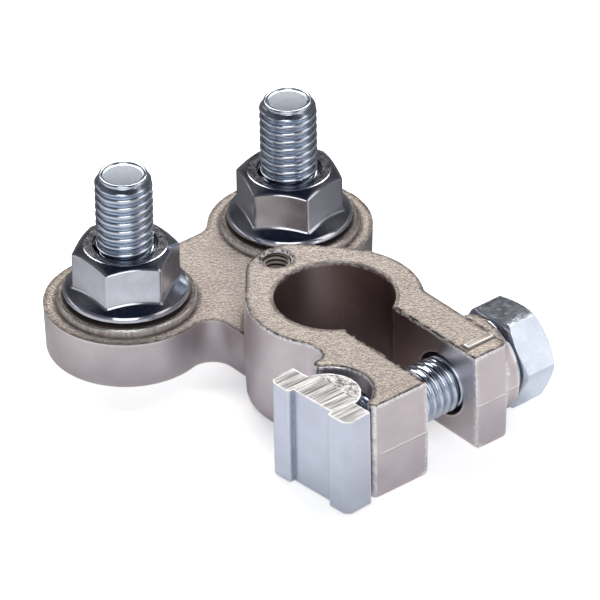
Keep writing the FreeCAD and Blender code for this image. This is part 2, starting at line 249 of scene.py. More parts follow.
def cap(bm, edges):
    return bmesh.ops.contextual_create(bm, geom=edges)["faces"]


def thread(bm, settings, low, high, end_chamfer=0.0, start_chamfer=0.0):
    """Right-hand thread about Z with rolled, rounded crests; returns its two open end loops."""
    depth = settings.crest - settings.root
    line = []
    for index in range(settings.rungs + 1):
        share = index / settings.rungs
        rise = 1.0 - abs(2.0 * share - 1.0) ** settings.fullness
        line.append((share, settings.root + depth * rise))
    return helix(bm, line, settings.pitch, low, high, settings.steps, end_chamfer, start_chamfer,
                 settings.root)


def helix(bm, line, pitch, low, high, steps, end_chamfer, start_chamfer, root):
    """Wind a line about Z, cut it off square at both ends and chamfer it; returns the two end loops."""
    turns = math.ceil((high - low) / pitch) + 2
    start = low - pitch
    verts = [bm.verts.new((radius, 0.0, start + share * pitch)) for share, radius in line]
    edges = [bm.edges.new(pair) for pair in zip(verts, verts[1:])]
    bmesh.ops.spin(bm, geom=verts + edges, cent=(0, 0, 0), axis=(0, 0, 1), dvec=(0, 0, pitch / steps),
                   angle=math.tau * turns, steps=steps * turns, use_merge=False, use_duplicate=False)
    bmesh.ops.remove_doubles(bm, verts=bm.verts, dist=2e-6)
    for vert in bm.verts:
        reach = math.hypot(vert.co.x, vert.co.y)
        allowed = reach
        if end_chamfer:
            allowed = min(allowed, root + max(0.0, high - vert.co.z) * end_chamfer)
        if start_chamfer:
            allowed = min(allowed, root + max(0.0, vert.co.z - low) * start_chamfer)
        if allowed < reach:
            vert.co.x *= allowed / reach
            vert.co.y *= allowed / reach
    for height, normal in ((low, (0, 0, -1)), (high, (0, 0, 1))):
        bmesh.ops.bisect_plane(bm, geom=bm.verts[:] + bm.edges[:] + bm.faces[:], dist=1e-7,
                               plane_co=(0, 0, height), plane_no=normal, clear_outer=True)
    ends = []
    for height in (low, high):
        ends.append([edge for edge in bm.edges if edge.is_boundary
                     and all(abs(vert.co.z - height) < 1e-6 for vert in edge.verts)])
    return ends


def finished(name, bm, body, materials, replaced=(), sharp=32.0):
    """Turn a bmesh into a piece that rides on a body and takes its finish from a slot."""
    bmesh.ops.recalc_face_normals(bm, faces=bm.faces)
    mesh = bpy.data.meshes.new(name)
    bm.to_mesh(mesh)
    bm.free()
    mesh.shade_smooth()
    mesh.set_sharp_from_angle(angle=math.radians(sharp))
    for material in materials:
        mesh.materials.append(material)
    piece = bpy.data.objects.new(name, mesh)
    bpy.context.scene.collection.objects.link(piece)
    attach(piece, body)
    if replaced:
        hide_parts(*replaced)
    return piece


# Shader tools

# A noise value counts as fully dark or bright at these two
NOISE_BAND = (0.3, 0.7)


class Sheet:
    """A node tree that is wired up step by step."""

    def __init__(self, tree):
        self.tree = tree

    def add(self, kind, inputs=None, **settings):
        node = self.tree.nodes.new(kind)
        for key, value in settings.items():
            setattr(node, key, value)
        for key, value in (inputs or {}).items():
            self.feed(node.inputs[key], value)
        return node

    def feed(self, socket, value):
        if isinstance(value, bpy.types.NodeSocket):
            self.tree.links.new(value, socket)
        else:
            socket.default_value = value

    def math(self, operation, *values, clamp=False):
        node = self.add("ShaderNodeMath", operation=operation, use_clamp=clamp)
        for socket, value in zip(node.inputs, values):
            self.feed(socket, value)
        return node.outputs[0]

    def times(self, first, *others):
        for other in others:
            first = self.math("MULTIPLY", first, other)
        return first

    def highest(self, first, *others):
        for other in others:
            first = self.math("MAXIMUM", first, other)
        return first

    def length(self, first, second):
        """Length of a step from its two parts at right angles."""
        squares = self.math("ADD", self.math("POWER", first, 2.0), self.math("POWER", second, 2.0))
        return self.math("POWER", squares, 0.5)

    def parts(self, vector):
        return self.add("ShaderNodeSeparateXYZ", {0: vector}).outputs

    def vector_math(self, operation, first, second, result="Vector"):
        return self.add("ShaderNodeVectorMath", {0: first, 1: second}, operation=operation).outputs[result]

    def bump(self, strength, distance, height):
        node = self.add("ShaderNodeBump", {"Strength": strength, "Distance": distance, "Height": height})
        return node.outputs["Normal"]

    def spread(self, value, low, high, out_low=0.0, out_high=1.0):
        node = self.add("ShaderNodeMapRange", {"Value": value, "From Min": low, "From Max": high,
                                               "To Min": out_low, "To Max": out_high})
        return node.outputs["Result"]

    def blend(self, share, first, second):
        node = self.add("ShaderNodeMix", data_type="RGBA")
        self.feed(node.inputs["Factor"], share)
        self.feed(node.inputs[6], first)
        self.feed(node.inputs[7], second)
        return node.outputs[2]

    def mix(self, share, first, second):
        node = self.add("ShaderNodeMix", data_type="FLOAT")
        self.feed(node.inputs["Factor"], share)
        self.feed(node.inputs[2], first)
        self.feed(node.inputs[3], second)
        return node.outputs[0]

    def noise(self, vector, scale, detail=2.0, roughness=0.5):
        return self.add("ShaderNodeTexNoise", {"Vector": vector, "Scale": scale, "Detail": detail,
                                               "Roughness": roughness}).outputs["Fac"]

    def stretched(self, vector, scale):
        return self.add("ShaderNodeMapping", {"Vector": vector, "Scale": scale}).outputs["Vector"]

    def group(self, tree, **inputs):
        node = self.add("ShaderNodeGroup", node_tree=tree)
        for key, value in inputs.items():
            self.feed(node.inputs[key.replace("_", " ")], value)
        return node.outputs


def tint(colour, share=1.0):
    """Opaque colour, darker or lighter by a share."""
    return tuple(min(1.0, share * part) for part in colour) + (1.0,)


def new_group(name, inputs, outputs):
    tree = bpy.data.node_groups.new(name, "ShaderNodeTree")
    for title, kind, default in inputs:
        socket = tree.interface.new_socket(title, in_out="INPUT", socket_type=kind)
        if default is not None:
            socket.default_value = default
    for title, kind in outputs:
        tree.interface.new_socket(title, in_out="OUTPUT", socket_type=kind)
    sheet = Sheet(tree)
    return sheet, sheet.add("NodeGroupInput").outputs, sheet.add("NodeGroupOutput").inputs


def grain_group():
    """Pebbled skin of a casting: a height, and a tone that follows it and, as painted relief shading, its
    slope towards the light.
    """
    if "cast_grain" in bpy.data.node_groups:
        return bpy.data.node_groups["cast_grain"]
    sheet, given, result = new_group(
        "cast_grain",
        [("Vector", "NodeSocketVector", None), ("Scale", "NodeSocketFloat", 3000.0)],
        [("Height", "NodeSocketFloat"), ("Tone", "NodeSocketFloat")])
    drift = (0.00025, 0.00025, 0.00025)
    towards_light = (-0.00009, 0.00007, 0.0)
    bent = sheet.add("ShaderNodeTexNoise", {"Vector": given["Vector"], "Scale": given["Scale"],
                                            "Detail": 1.0}).outputs["Color"]
    place = sheet.vector_math("ADD", given["Vector"], sheet.vector_math("MULTIPLY", bent, drift))
    pebbles = sheet.noise(place, given["Scale"], 2.0, 0.6)
    fine = sheet.noise(place, sheet.times(given["Scale"], 2.6), 2.0, 0.6)
    broad = sheet.noise(given["Vector"], sheet.times(given["Scale"], 0.12))
    height = sheet.math("ADD", sheet.times(fine, 0.35), sheet.times(pebbles, 0.65))
    sheet.feed(result["Height"], height)
    # Painted relief shading: the tone also follows the grain's slope towards the light, so grains get lit and
    # shaded sides
    behind = sheet.vector_math("ADD", place, towards_light)
    slope = sheet.math("SUBTRACT", pebbles, sheet.noise(behind, given["Scale"], 2.0, 0.6))
    shade = sheet.math("ADD", height, sheet.times(slope, 0.8))
    tone = sheet.math("ADD", sheet.spread(shade, 0.40, 0.585), sheet.spread(broad, *NOISE_BAND, -0.10, 0.10),
                      clamp=True)
    sheet.feed(result["Tone"], tone)
    return sheet.tree


def edge_group():
    """Mask of edges, broken by noise, where highlights and dark lines are painted."""
    if "edges_for_painted_light" in bpy.data.node_groups:
        return bpy.data.node_groups["edges_for_painted_light"]
    sheet, given, result = new_group(
        "edges_for_painted_light",
        [("Width", "NodeSocketFloat", 0.00025), ("Vector", "NodeSocketVector", None),
         ("Reach", "NodeSocketFloat", 0.93)],
        [("Mask", "NodeSocketFloat")])
    rounded = sheet.add("ShaderNodeBevel", {"Radius": given["Width"]}, samples=4).outputs["Normal"]
    plain = sheet.add("ShaderNodeNewGeometry").outputs["Normal"]
    facing = sheet.vector_math("DOT_PRODUCT", rounded, plain, "Value")
    broken = sheet.spread(sheet.noise(given["Vector"], 900.0), 0.35, 0.6, 0.55, 1.0)
    sheet.feed(result["Mask"], sheet.times(sheet.spread(facing, 0.998, given["Reach"]), broken))
    return sheet.tree


def hollow_group():
    """Mask of gaps and inner corners."""
    if "hollows" in bpy.data.node_groups:
        return bpy.data.node_groups["hollows"]
    sheet, given, result = new_group(
        "hollows", [("Reach", "NodeSocketFloat", 0.002)], [("Mask", "NodeSocketFloat")])
    openness = sheet.add("ShaderNodeAmbientOcclusion", {"Distance": given["Reach"]}, samples=5).outputs["AO"]
    sheet.feed(result["Mask"], sheet.spread(openness, 0.95, 0.30))
    return sheet.tree


def new_finish(name):
    """Empty metal; returns the material, its sheet, the shader's inputs and the object coordinates."""
    material = bpy.data.materials.new(name)
    material.use_nodes = True
    sheet = Sheet(material.node_tree)
    shader = material.node_tree.nodes["Principled BSDF"]
    shader.inputs["Metallic"].default_value = 1.0
    place = sheet.add("ShaderNodeTexCoord").outputs
    return material, sheet, shader.inputs, place


# Finishes

WHITE = (1.0, 1.0, 1.0, 1.0)
EDGE_HIGHLIGHT = (1.0, 0.99, 0.98, 1.0)
BLACK_SHADE = (0.02, 0.015, 0.012, 1.0)
INSIDE_SHADE = (0.50, 0.405, 0.395, 1.0)
MARK_SHADE = (0.12, 0.095, 0.085, 1.0)
HOLLOW_SHADE = (0.13, 0.10, 0.09, 1.0)
BOSS_SHADE = (0.10, 0.075, 0.07, 1.0)
LEDGE_SHADE = (0.085, 0.07, 0.065, 1.0)
MIRRORED_SHADE = (0.05, 0.05, 0.06, 1.0)
SEAT_TONE = (0.72, 0.67, 0.65, 1.0)
THREAD_CREST_HIGHLIGHT = (1.0, 0.90, 0.84, 1.0)
ZINC_EDGE_HIGHLIGHT = (0.95, 0.96, 0.98, 1.0)
ZINC_HOLLOW_SHADE = (0.04, 0.04, 0.05, 1.0)
SAWN_DARK = (0.04, 0.04, 0.045, 1.0)
SAWN_PALE = (0.34, 0.34, 0.34, 1.0)
BAR_HOLLOW_SHADE = (0.10, 0.11, 0.13, 1.0)


def inside_mask(sheet, where):
    """Mask of the bore and of the slot's walls."""
    in_bore = sheet.spread(sheet.length(where["X"], where["Y"]), 0.0085, 0.00835)
    slot_wall = sheet.spread(sheet.math("ABSOLUTE", where["Y"]), 0.00440, 0.00428)
    in_slot = sheet.times(slot_wall, sheet.spread(where["X"], 0.005, 0.006),
                          sheet.spread(where["X"], 0.020, 0.010))
    return sheet.highest(in_bore, in_slot)


def ridge_mask(sheet, spot, normal, where, parting):
    """Mask of the wandering parting line on the ends of the arms."""
    gap = sheet.math("ABSOLUTE", sheet.math("SUBTRACT", where["Z"], parting))
    wander = sheet.spread(sheet.noise(spot, 500.0), *NOISE_BAND, -0.00005, 0.00005)
    line = sheet.spread(sheet.math("ADD", gap, wander), 0.00016, 0.00005)
    upright = sheet.spread(sheet.math("ABSOLUTE", normal["Z"]), 0.3, 0.1)
    end_face = sheet.spread(normal["X"], 0.6, 0.9)
    return sheet.times(line, upright, end_face, sheet.spread(where["X"], 0.0235, 0.0240))


def mark_gap(sheet, where, settings):
    """How far a place lies outside the minus sign's outline; less than zero is inside."""
    gaps = []
    for axis, middle, size in zip("XY", settings.mark_place, (settings.mark_width, settings.mark_length)):
        offset = sheet.math("ABSOLUTE", sheet.math("SUBTRACT", where[axis], middle))
        gaps.append(sheet.math("SUBTRACT", offset, size / 2.0))
    return sheet.highest(*gaps)


def tap_distance(sheet, where, settings):
    return sheet.length(sheet.math("SUBTRACT", where["X"], settings.tap_place), where["Y"])


def lip_masks(sheet, spot, facing_up, where, settings, top, side, boss, off_tap, broken):
    """Masks of the painted shade line and of the painted highlight dashes along the upper edges."""
    half = settings.slot_half
    beside = sheet.math("ABSOLUTE", where["Y"])
    upper = sheet.times(sheet.spread(where["Z"], settings.parting + 0.002, settings.parting + 0.003),
                        sheet.math("SUBTRACT", 1.0, boss))
    rim = sheet.group(edge_group(), Vector=spot, Width=0.0010, Reach=0.985)["Mask"]
    inner = sheet.times(sheet.spread(where["X"], 0.0074, 0.0078),
                        sheet.spread(beside, half + 0.00042, half + 0.00026), upper)
    upper_fillet = sheet.times(sheet.spread(facing_up, 0.997, 0.975),
                               sheet.spread(facing_up, 0.66, 0.80), upper)
    dark = sheet.spread(sheet.highest(upper_fillet, sheet.times(rim, top)), 0.06, 0.30)
    dark = sheet.times(sheet.highest(dark, sheet.times(inner, top)), broken)
    lower_fillet = sheet.times(sheet.spread(facing_up, 0.80, 0.66),
                               sheet.spread(facing_up, 0.08, 0.25), upper)
    mouth = sheet.times(sheet.spread(where["X"], 0.0229, 0.0233), sheet.spread(beside, 0.0060, 0.0055))
    brink = sheet.highest(sheet.spread(where["Z"], 0.0144, 0.0148), mouth)
    brink = sheet.times(brink, off_tap, rim, side)
    inner_brink = sheet.times(inner, side, sheet.spread(where["Z"], 0.01458, 0.01476))
    dashes = sheet.spread(sheet.noise(spot, 1900.0), 0.44, 0.54, 0.15, 1.0)
    light = sheet.times(sheet.spread(sheet.highest(lower_fillet, brink, inner_brink), 0.04, 0.25), dashes)
    return dark, light


def casting_finish(settings):
    """Nickel plating: grained tops, satin sides, painted shade in hollows, and broken painted dark lines and
    highlights along the edges.
    """
    material, sheet, shader, place = new_finish("nickel_casting")
    spot = place["Object"]
    normal = sheet.parts(place["Normal"])
    where = sheet.parts(spot)
    top = sheet.spread(normal["Z"], 0.75, 0.96)
    side = sheet.math("SUBTRACT", 1.0, top)
    grain = sheet.group(grain_group(), Vector=spot, Scale=settings.grain)
    top_tone = sheet.blend(grain["Tone"], tint(settings.pit_and_shade_colour), tint(settings.top_colour))
    cloud = sheet.spread(sheet.noise(spot, 260.0), *NOISE_BAND)
    side_tone = sheet.blend(cloud, tint(settings.side_colour, 0.93), tint(settings.side_colour, 1.05))
    skin = sheet.blend(top, side_tone, top_tone)

    boss = sheet.times(sheet.spread(where["X"], 0.0080, 0.0085), sheet.spread(where["Y"], 0.0107, 0.0109))
    off_tap = sheet.spread(tap_distance(sheet, where, settings), 0.0026, 0.0028)
    broken = sheet.spread(sheet.noise(spot, 1100.0), 0.38, 0.52, 0.35, 1.0)
    dark_lip, light_lip = lip_masks(sheet, spot, normal["Z"], where, settings, top, side, boss, off_tap,
                                    broken)
    outline = sheet.spread(mark_gap(sheet, where, settings), 0.00042, 0.00028)
    hollows = sheet.group(hollow_group(), Reach=0.0045)["Mask"]
    centre_x, centre_y = stud_axis("far")[:2]
    from_stud = sheet.length(sheet.math("SUBTRACT", where["X"], centre_x),
                             sheet.math("SUBTRACT", sheet.math("ABSOLUTE", where["Y"]), centre_y))
    on_seat = sheet.spread(where["Z"], settings.parting + 0.0008, settings.parting + 0.0009)
    ledge = sheet.times(sheet.spread(from_stud, 0.00910, 0.00890), on_seat)
    # The web's top looks darker where another piece mirrors it
    glossy = sheet.add("ShaderNodeLightPath").outputs["Is Glossy Ray"]
    mirrored = sheet.times(glossy, sheet.spread(from_stud, 0.0112, 0.0122),
                           sheet.spread(where["X"], -0.0210, -0.0222))
    for mask, shade in ((sheet.times(inside_mask(sheet, where), side), INSIDE_SHADE),
                        # Painted shade: a broken black line along the upper edges
                        (dark_lip, BLACK_SHADE),
                        (sheet.times(outline, top, 0.9), MARK_SHADE),
                        (sheet.times(hollows, top, 0.9), HOLLOW_SHADE),
                        (sheet.times(hollows, boss, side, 0.9), BOSS_SHADE),
                        (sheet.times(ledge, top, 0.9), LEDGE_SHADE),
                        (sheet.times(mirrored, top, 0.85), MIRRORED_SHADE)):
        skin = sheet.blend(mask, skin, shade)

    # Painted highlight: the seat's wall is painted pale to white in fine upright streaks
    ticks = sheet.spread(sheet.noise(sheet.stretched(spot, (1.0, 1.0, 0.1)), 3200.0), 0.35, 0.6)
    seat_wall = sheet.times(sheet.spread(from_stud, 0.00985, 0.00975), side,
                            sheet.spread(where["Z"], settings.parting, settings.parting + 0.0002))
    skin = sheet.blend(seat_wall, skin, sheet.blend(ticks, SEAT_TONE, WHITE))

    edges = sheet.times(sheet.group(edge_group(), Vector=spot, Width=0.0006)["Mask"], off_tap)
    ridge = ridge_mask(sheet, spot, normal, where, settings.parting)
    corner = sheet.spread(sheet.math("ABSOLUTE", sheet.times(normal["X"], normal["Y"])), 0.32, 0.44)
    corner = sheet.times(corner, broken, sheet.spread(where["X"], 0.0215, 0.0222))
    # Painted highlights: pale side edges, the parting line's ridge, dashes along the upper edges and the
    # rounded corners of the arm ends
    bright = sheet.highest(sheet.times(edges, side, 0.85), sheet.times(ridge, 0.9), light_lip, corner)
    sheet.feed(shader["Base Color"], sheet.blend(bright, skin, EDGE_HIGHLIGHT))
    sheet.feed(shader["Metallic"], sheet.times(sheet.spread(top, 0.0, 1.0, 1.0, 0.62),
                                               sheet.spread(light_lip, 0.0, 1.0, 1.0, 0.3)))
    rough = sheet.mix(top, 0.30, sheet.spread(grain["Tone"], 0.0, 1.0, 0.42, 0.30))
    sheet.feed(shader["Roughness"], sheet.math("SUBTRACT", rough, sheet.times(edges, 0.12)))
    fine = sheet.noise(spot, 6000.0)
    height = sheet.math("ADD", sheet.times(grain["Height"], top, 0.9), sheet.times(fine, 0.07))
    height = sheet.math("ADD", height, sheet.times(ridge, 0.1))
    sheet.feed(shader["Normal"], sheet.bump(1.0, 0.00052, height))
    return material


def zinc_finish(name, colour, roughness, hollow_shade_share=0.0, top_shade_share=0.0):
    """Bright zinc plating with faint clouds and drawing marks, painted highlights on the edges, and, by the
    given shares, painted shade on faces that look up and in hollows.
    """
    material, sheet, shader, place = new_finish(name)
    spot = place["Object"]
    facing_up = sheet.parts(place["Normal"])["Z"]
    cloud = sheet.spread(sheet.noise(spot, 420.0, 3.0, 0.6), *NOISE_BAND)
    tone = sheet.blend(cloud, tint(colour, 0.90), tint(colour, 1.05))
    edges = sheet.group(edge_group(), Vector=spot, Width=0.00018)["Mask"]
    # Painted highlight along the edges that don't face up
    tone = sheet.blend(sheet.times(edges, sheet.spread(facing_up, 0.97, 0.85), 0.7), tone, ZINC_EDGE_HIGHLIGHT)
    speckle = sheet.spread(sheet.noise(spot, 5200.0, 2.0, 0.6), *NOISE_BAND, 0.12, 0.0)
    tone = sheet.blend(speckle, tone, tint(colour, 0.3))
    # Painted shade on the faces that look up
    top_shade = sheet.times(sheet.spread(facing_up, 0.90, 0.98), top_shade_share)
    tone = sheet.blend(top_shade, tone, tint(colour, 0.12))
    # Painted shade in gaps and inner corners, by the given share
    if hollow_shade_share:
        hollows = sheet.group(hollow_group(), Reach=0.0016)["Mask"]
        tone = sheet.blend(sheet.times(hollows, hollow_shade_share), tone, ZINC_HOLLOW_SHADE)
    sheet.feed(shader["Base Color"], tone)
    sheet.feed(shader["Roughness"], sheet.spread(sheet.noise(spot, 1500.0, 3.0), *NOISE_BAND,
                                                 roughness * 0.8, roughness * 1.25))
    scratches = sheet.noise(sheet.stretched(spot, (1.0, 1.0, 0.08)), 7000.0)
    pits = sheet.noise(spot, 1800.0, 3.0, 0.6)
    height = sheet.math("ADD", sheet.times(scratches, 0.35), sheet.times(pits, 0.8))
    sheet.feed(shader["Normal"], sheet.bump(0.25, 0.00003, height))
    return material


def matt_zinc_finish(colour):
    """Stamped end faces, matt and finely pitted."""
    material, sheet, shader, place = new_finish("matt_zinc")
    pits = sheet.noise(place["Object"], 5000.0, 3.0, 0.65)
    tone = sheet.blend(sheet.spread(pits, *NOISE_BAND), tint(colour, 0.16), tint(colour, 0.26))
    sheet.feed(shader["Base Color"], tone)
    sheet.feed(shader["Roughness"], sheet.spread(pits, *NOISE_BAND, 0.38, 0.5))
    sheet.feed(shader["Normal"], sheet.bump(0.5, 0.00005, pits))
    return material


def sawn_bar_finish(colour):
    """Drawn bar with smooth sides and sawn ends."""
    material, sheet, shader, place = new_finish("sawn_bar")
    spot = place["Object"]
    sawn = sheet.spread(sheet.math("ABSOLUTE", sheet.parts(place["Normal"])["Z"]), 0.8, 0.95)
    strokes = sheet.noise(sheet.stretched(spot, (1.0, 0.03, 0.2)), 3400.0, 3.0, 0.7)
    patches = sheet.noise(spot, 1500.0, 3.0, 0.6)
    on_back = sheet.spread(sheet.parts(spot)["Y"], -0.01405, -0.01380)
    marks = sheet.mix(on_back, strokes, patches)
    sawn_tone = sheet.blend(sheet.spread(marks, 0.36, 0.64), SAWN_DARK, SAWN_PALE)
    cloud = sheet.spread(sheet.noise(spot, 300.0, 3.0), *NOISE_BAND)
    skin = sheet.blend(sawn, sheet.blend(cloud, tint(colour, 0.92), tint(colour)), sawn_tone)
    # Painted shade in gaps and inner corners
    hollows = sheet.group(hollow_group(), Reach=0.0012)["Mask"]
    skin = sheet.blend(sheet.times(hollows, 0.6), skin, BAR_HOLLOW_SHADE)
    # Painted highlights along the edges, fainter on the sawn ends
    edges = sheet.group(edge_group(), Vector=spot, Width=0.00045)["Mask"]
    edge_highlight = sheet.times(edges, sheet.mix(sawn, 0.9, 0.45))
    sheet.feed(shader["Base Color"], sheet.blend(edge_highlight, skin, WHITE))
    sheet.feed(shader["Roughness"], sheet.mix(sawn, 0.3, 0.42))
    drawn = sheet.noise(sheet.stretched(spot, (1.0, 1.0, 0.04)), 5200.0)
    height = sheet.math("ADD", sheet.times(marks, sawn, 2.2), sheet.times(drawn, 0.35))
    sheet.feed(shader["Normal"], sheet.bump(0.5, 0.00006, height))
    return material


def tapped_finish(settings):
    """Tapped thread with painted highlights on its crests and painted shade in its roots."""
    material, sheet, shader, place = new_finish("tapped_thread")
    from_tap = tap_distance(sheet, sheet.parts(place["Object"]), settings)
    depth = sheet.spread(from_tap, settings.tap_radius - 0.00034, settings.tap_radius - 0.00012)
    sheet.feed(shader["Base Color"], sheet.blend(depth, THREAD_CREST_HIGHLIGHT, BLACK_SHADE))
    shader["Metallic"].default_value = 0.5
    shader["Roughness"].default_value = 0.35
    return material


def mark_finish(settings):
    """Top plating painted dark against the lamp it mirrors, with painted highlights along its edges, for the
    raised minus sign.
    """
    material, sheet, shader, place = new_finish("bright_mark")
    inset = mark_gap(sheet, sheet.parts(place["Object"]), settings)
    edge = sheet.spread(inset, -0.00016, -0.00010)
    sheet.feed(shader["Base Color"], sheet.blend(edge, tint(settings.top_colour, 0.22), WHITE))
    shader["Roughness"].default_value = 0.5
    return material


# Pieces

def stud_axis(side):
    low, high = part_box(side + "_stud")
    return (low.x + high.x) / 2.0, (low.y + high.y) / 2.0, low.z, high.z


def build_stud(side, threads, bolts, materials):
    """Hexagon head in the underside, plain shank, and a threaded end with a rolled rim."""
    centre_x, centre_y, low, high = stud_axis(side)
    bm = bmesh.new()
    run_out = bolts.nut_top - 0.0016
    start, end = thread(bm, threads, run_out, high - 0.00045, end_chamfer=1.15)
    bead = 0.00030
    bead_ring = 0.00312
    bead_angles = [math.radians(angle) for angle in range(-20, 171, 19)]
    lip = follow(bm, end, [(bead_ring + bead * math.cos(angle), high - bead + bead * math.sin(angle))
                           for angle in bead_angles] + [(0.0026, high - 0.00028)])
    for face in cap(bm, lip):
        face.material_index = 1
    hexed = hexagon(bolts.spread, bolts.spread / math.sqrt(3.0) - 0.00006, 0.0)
    face_radius = bolts.spread / 2.0 - 0.00065
    slope = math.tan(math.radians(29.0))
    head_top = low + bolts.stud_head
    neck_top = head_top + 0.003
    shank = 0.0036
    neck = 0.004

    def chamfer(angle):
        return low + max(0.0, hexed(angle) - face_radius) * slope

    foot = follow(bm, start, [(threads.root, run_out), (shank, run_out), (shank, neck_top), (neck, neck_top),
                              (neck, head_top), (0.0058, head_top), (hexed, head_top), (hexed, chamfer),
                              (face_radius, low), (0.002, low)])
    cap(bm, foot)
    bm.transform(Matrix.Translation((centre_x, centre_y, 0.0)))
    return finished(side + "_stud_threaded", bm, "casting", materials, [side + "_stud"])


def build_bolt(threads, bolts, materials):
    """Clamp bolt, modelled upright with its seat at zero and then laid along Y."""
    low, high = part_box("clamp_bolt")
    seat = high.y - bolts.height
    tip = low.y - seat
    bm = bmesh.new()
    start, end = thread(bm, threads, tip + 0.0002, -0.0008, start_chamfer=1.0)
    cap(bm, follow(bm, start, [(0.0031, tip + 0.00005), (0.0029, tip)]))
    hexed = hexagon(bolts.spread, bolts.spread / math.sqrt(3.0) - 0.00007, bolts.turn)
    washer = bolts.washer_radius
    rise = bolts.washer_height
    top = bolts.height
    neck = 0.0042

    def lower(angle):
        return rise + (hexed(angle) - washer) * math.tan(math.radians(20.0))

    def upper(angle):
        return top - (hexed(angle) - washer) * math.tan(math.radians(28.0))

    def middle(angle):
        return (lower(angle) + upper(angle)) / 2.0

    rings = [(neck, -0.0002), (neck, 0.0), (washer - 0.0001, 0.0), (washer, 0.0001), (washer, rise),
             (shifted(hexed, -0.00012), shifted(lower, -0.00004)), (hexed, shifted(lower, 0.00010)),
             (hexed, middle), (hexed, shifted(upper, -0.00010)),
             (shifted(hexed, -0.00014), shifted(upper, 0.00005)), (washer + 0.00018, top - 0.00010),
             (washer + 0.0001, top - 0.00005), (washer - 0.00004, top), (washer - 0.00012, top),
             (0.0045, top), (0.0041, top - 0.0001), (0.0036, top - 0.00015)]
    cap(bm, follow(bm, end, rings))
    middle_x, middle_z = (low.x + high.x) / 2.0, (low.z + high.z) / 2.0
    laid = Matrix.Rotation(math.radians(-90.0), 4, "X")
    bm.transform(Matrix.Translation((middle_x, seat, middle_z)) @ laid)
    return finished("clamp_bolt_threaded", bm, "bolt", materials, ["clamp_bolt"])


def build_flange_nut(side, nuts, turn, materials):
    """Hexagon nut with a toothed flange, a chamfered top and a countersunk thread."""
    low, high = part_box(side + "_flange_nut")
    centre_x, centre_y = (low.x + high.x) / 2.0, (low.y + high.y) / 2.0
    foot, top = low.z, high.z
    hexed = hexagon(nuts.spread, nuts.spread / math.sqrt(3.0) - 0.00007, turn)
    pitch = math.tau / nuts.teeth
    bed = foot + nuts.tooth
    rim_top = bed + nuts.rim
    face = nuts.face
    bore = 0.00405

    def teeth(angle):
        share = (angle % pitch) / pitch
        return foot + nuts.tooth * min(1.0, share / 0.82) if share < 0.9 else bed

    def cone(radius):
        return rim_top + (nuts.flange - radius) * math.tan(nuts.slope)

    def chamfer(radius):
        return top - max(0.0, radius - face) * math.tan(nuts.chamfer)

    def middle(angle):
        return (cone(hexed(angle)) + chamfer(hexed(angle))) / 2.0

    def halfway(angle):
        return (hexed(angle) + face) / 2.0

    turned = math.radians(90.0) - nuts.slope
    reach = nuts.rounding * math.tan(turned / 2.0)
    rounded = [(nuts.flange - nuts.rounding * (1.0 - math.cos(turned * step / 7.0)),
                rim_top - reach + nuts.rounding * math.sin(turned * step / 7.0)) for step in range(8)]
    skirt = [(bore, bed + 0.0003), (0.0060, bed + 0.0001), (0.0062, teeth), (0.00835, teeth),
             (0.00850, bed + 0.00004), (0.00865, bed + 0.00012), (nuts.flange, bed + 0.00028)]
    flats = [(shifted(hexed, 0.00042), over(cone, shifted(hexed, 0.00042))),
             (shifted(hexed, 0.00022), over(cone, shifted(hexed, 0.00022), 0.00004)),
             (shifted(hexed, 0.00007), over(cone, hexed, 0.00014)),
             (hexed, over(cone, hexed, 0.00032)), (hexed, middle), (hexed, over(chamfer, hexed, -0.00014)),
             (shifted(hexed, -0.00016), over(chamfer, shifted(hexed, -0.00012))),
             (halfway, over(chamfer, halfway))]
    crown = [(face + 0.00014, chamfer(face + 0.00014)), (face + 0.00006, chamfer(face + 0.00006)),
             (face - 0.00004, top), (face - 0.00012, top), (0.00462, top), (0.00455, top),
             (0.00449, top - 0.00006), (0.00444, top - 0.00011), (bore, top - 0.00055), (bore, top - 0.003)]
    bm = bmesh.new()
    first, last = ring_stack(bm, skirt + rounded + flats + crown, nuts.teeth * 12)
    bmesh.ops.bridge_loops(bm, edges=first + last)
    bm.transform(Matrix.Translation((centre_x, centre_y, 0.0)))
    return finished(side + "_flange_nut_dressed", bm, side + "_nut", materials,
                    [side + "_flange_nut"])


def build_accessory_thread(settings, material):
    """Thread inside the tapped hole, its crests standing in from the wall."""
    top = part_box("clamp_body")[1].z
    radius = settings.tap_radius
    root = radius + 0.00002
    bm = bmesh.new()
    line = [(0.0, root), (0.12, root), (0.48, radius - 0.00036), (0.60, radius - 0.00038),
            (0.72, radius - 0.00036), (1.0, root)]
    helix(bm, line, settings.tap_pitch, top - settings.tap_depth, top - 0.00035, 40, 0.0, 0.0, radius)
    bm.transform(Matrix.Translation((settings.tap_place, 0.0, 0.0)))
    return finished("accessory_thread", bm, "casting", [material])


def build_minus_sign(settings, material):
    """Raised minus sign on top of the far arm."""
    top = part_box("clamp_body")[1].z
    height = 0.0008
    standing = 0.0003
    middle_x, middle_y = settings.mark_place
    bm = bmesh.new()
    bmesh.ops.create_cube(bm, size=1.0)
    bmesh.ops.scale(bm, vec=(settings.mark_width, settings.mark_length, height), verts=bm.verts)
    upper = [edge for edge in bm.edges if all(vert.co.z > 0.0 for vert in edge.verts)]
    bmesh.ops.bevel(bm, geom=upper, offset=0.00009, segments=2, affect="EDGES", profile=0.5, material=-1)
    bm.transform(Matrix.Translation((middle_x, middle_y, top + standing - height / 2.0)))
    return finished("minus_sign", bm, "casting", [material], sharp=60.0)


# Stage

